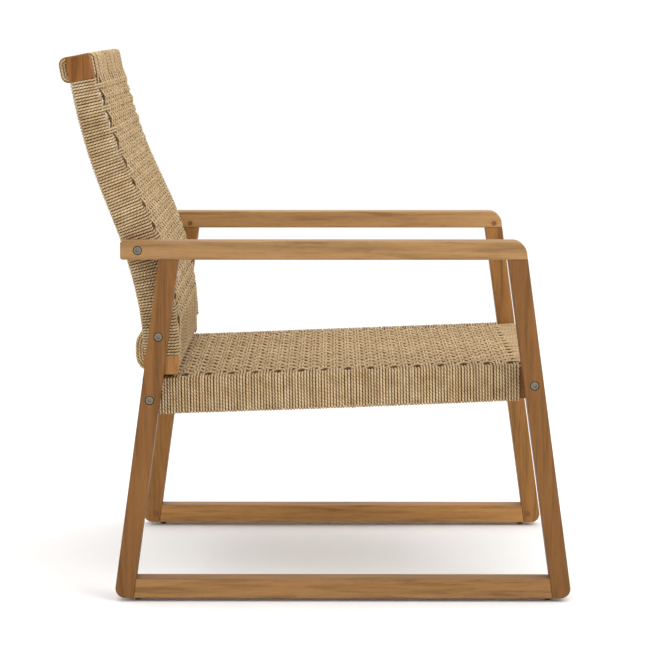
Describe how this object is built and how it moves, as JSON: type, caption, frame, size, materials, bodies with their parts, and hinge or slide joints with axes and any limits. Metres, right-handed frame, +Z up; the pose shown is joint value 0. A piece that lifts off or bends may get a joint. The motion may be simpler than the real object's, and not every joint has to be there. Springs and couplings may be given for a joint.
{
  "type": "armchair",
  "caption": "Low wooden armchair with sled side frames, a bolted seat frame and a leaning curved back, both wrapped and woven in natural cord.",
  "frame": {"origin": "middle of the chair's bounding box on the floor, under the glides", "axes": "+X to the sitter's left, the front of the seat faces -Y, +Z up"},
  "size_m": [0.64, 0.8016, 0.8569],
  "materials": {
    "frame_wood": "oiled, satin",
    "peg_wood": "oiled, satin",
    "cord": "twisted natural fibre, matte",
    "bolt_steel": "zinc plated",
    "insert_brass": "plain",
    "glide_plastic": "matte"
  },
  "bodies": {
    "root": {"arm_rail_left": "frame_wood", "arm_rail_right": "frame_wood", "front_leg_left": "frame_wood", "front_leg_right": "frame_wood", "rear_leg_left": "frame_wood", "rear_leg_right": "frame_wood", "bottom_rail_left": "frame_wood", "bottom_rail_right": "frame_wood", "seat_side_rail_left": "frame_wood", "seat_side_rail_right": "frame_wood", "back_post_left": "frame_wood", "back_post_right": "frame_wood", "seat_front_rail": "frame_wood", "seat_rear_rail": "frame_wood", "back_top_rail": "frame_wood", "back_bottom_rail": "frame_wood", "seat_side_wrap_left": "cord", "seat_side_wrap_right": "cord", "back_post_wrap_left": "cord", "back_post_wrap_right": "cord", "seat_front_wrap": "cord", "seat_rear_wrap": "cord", "back_top_wrap": "cord", "back_bottom_wrap": "cord", "seat_weave": "cord", "back_weave": "cord", "joint_pegs": "peg_wood", "frame_bolts": "bolt_steel", "threaded_inserts": "insert_brass", "glides": "glide_plastic"}
  },
  "joints": []
}
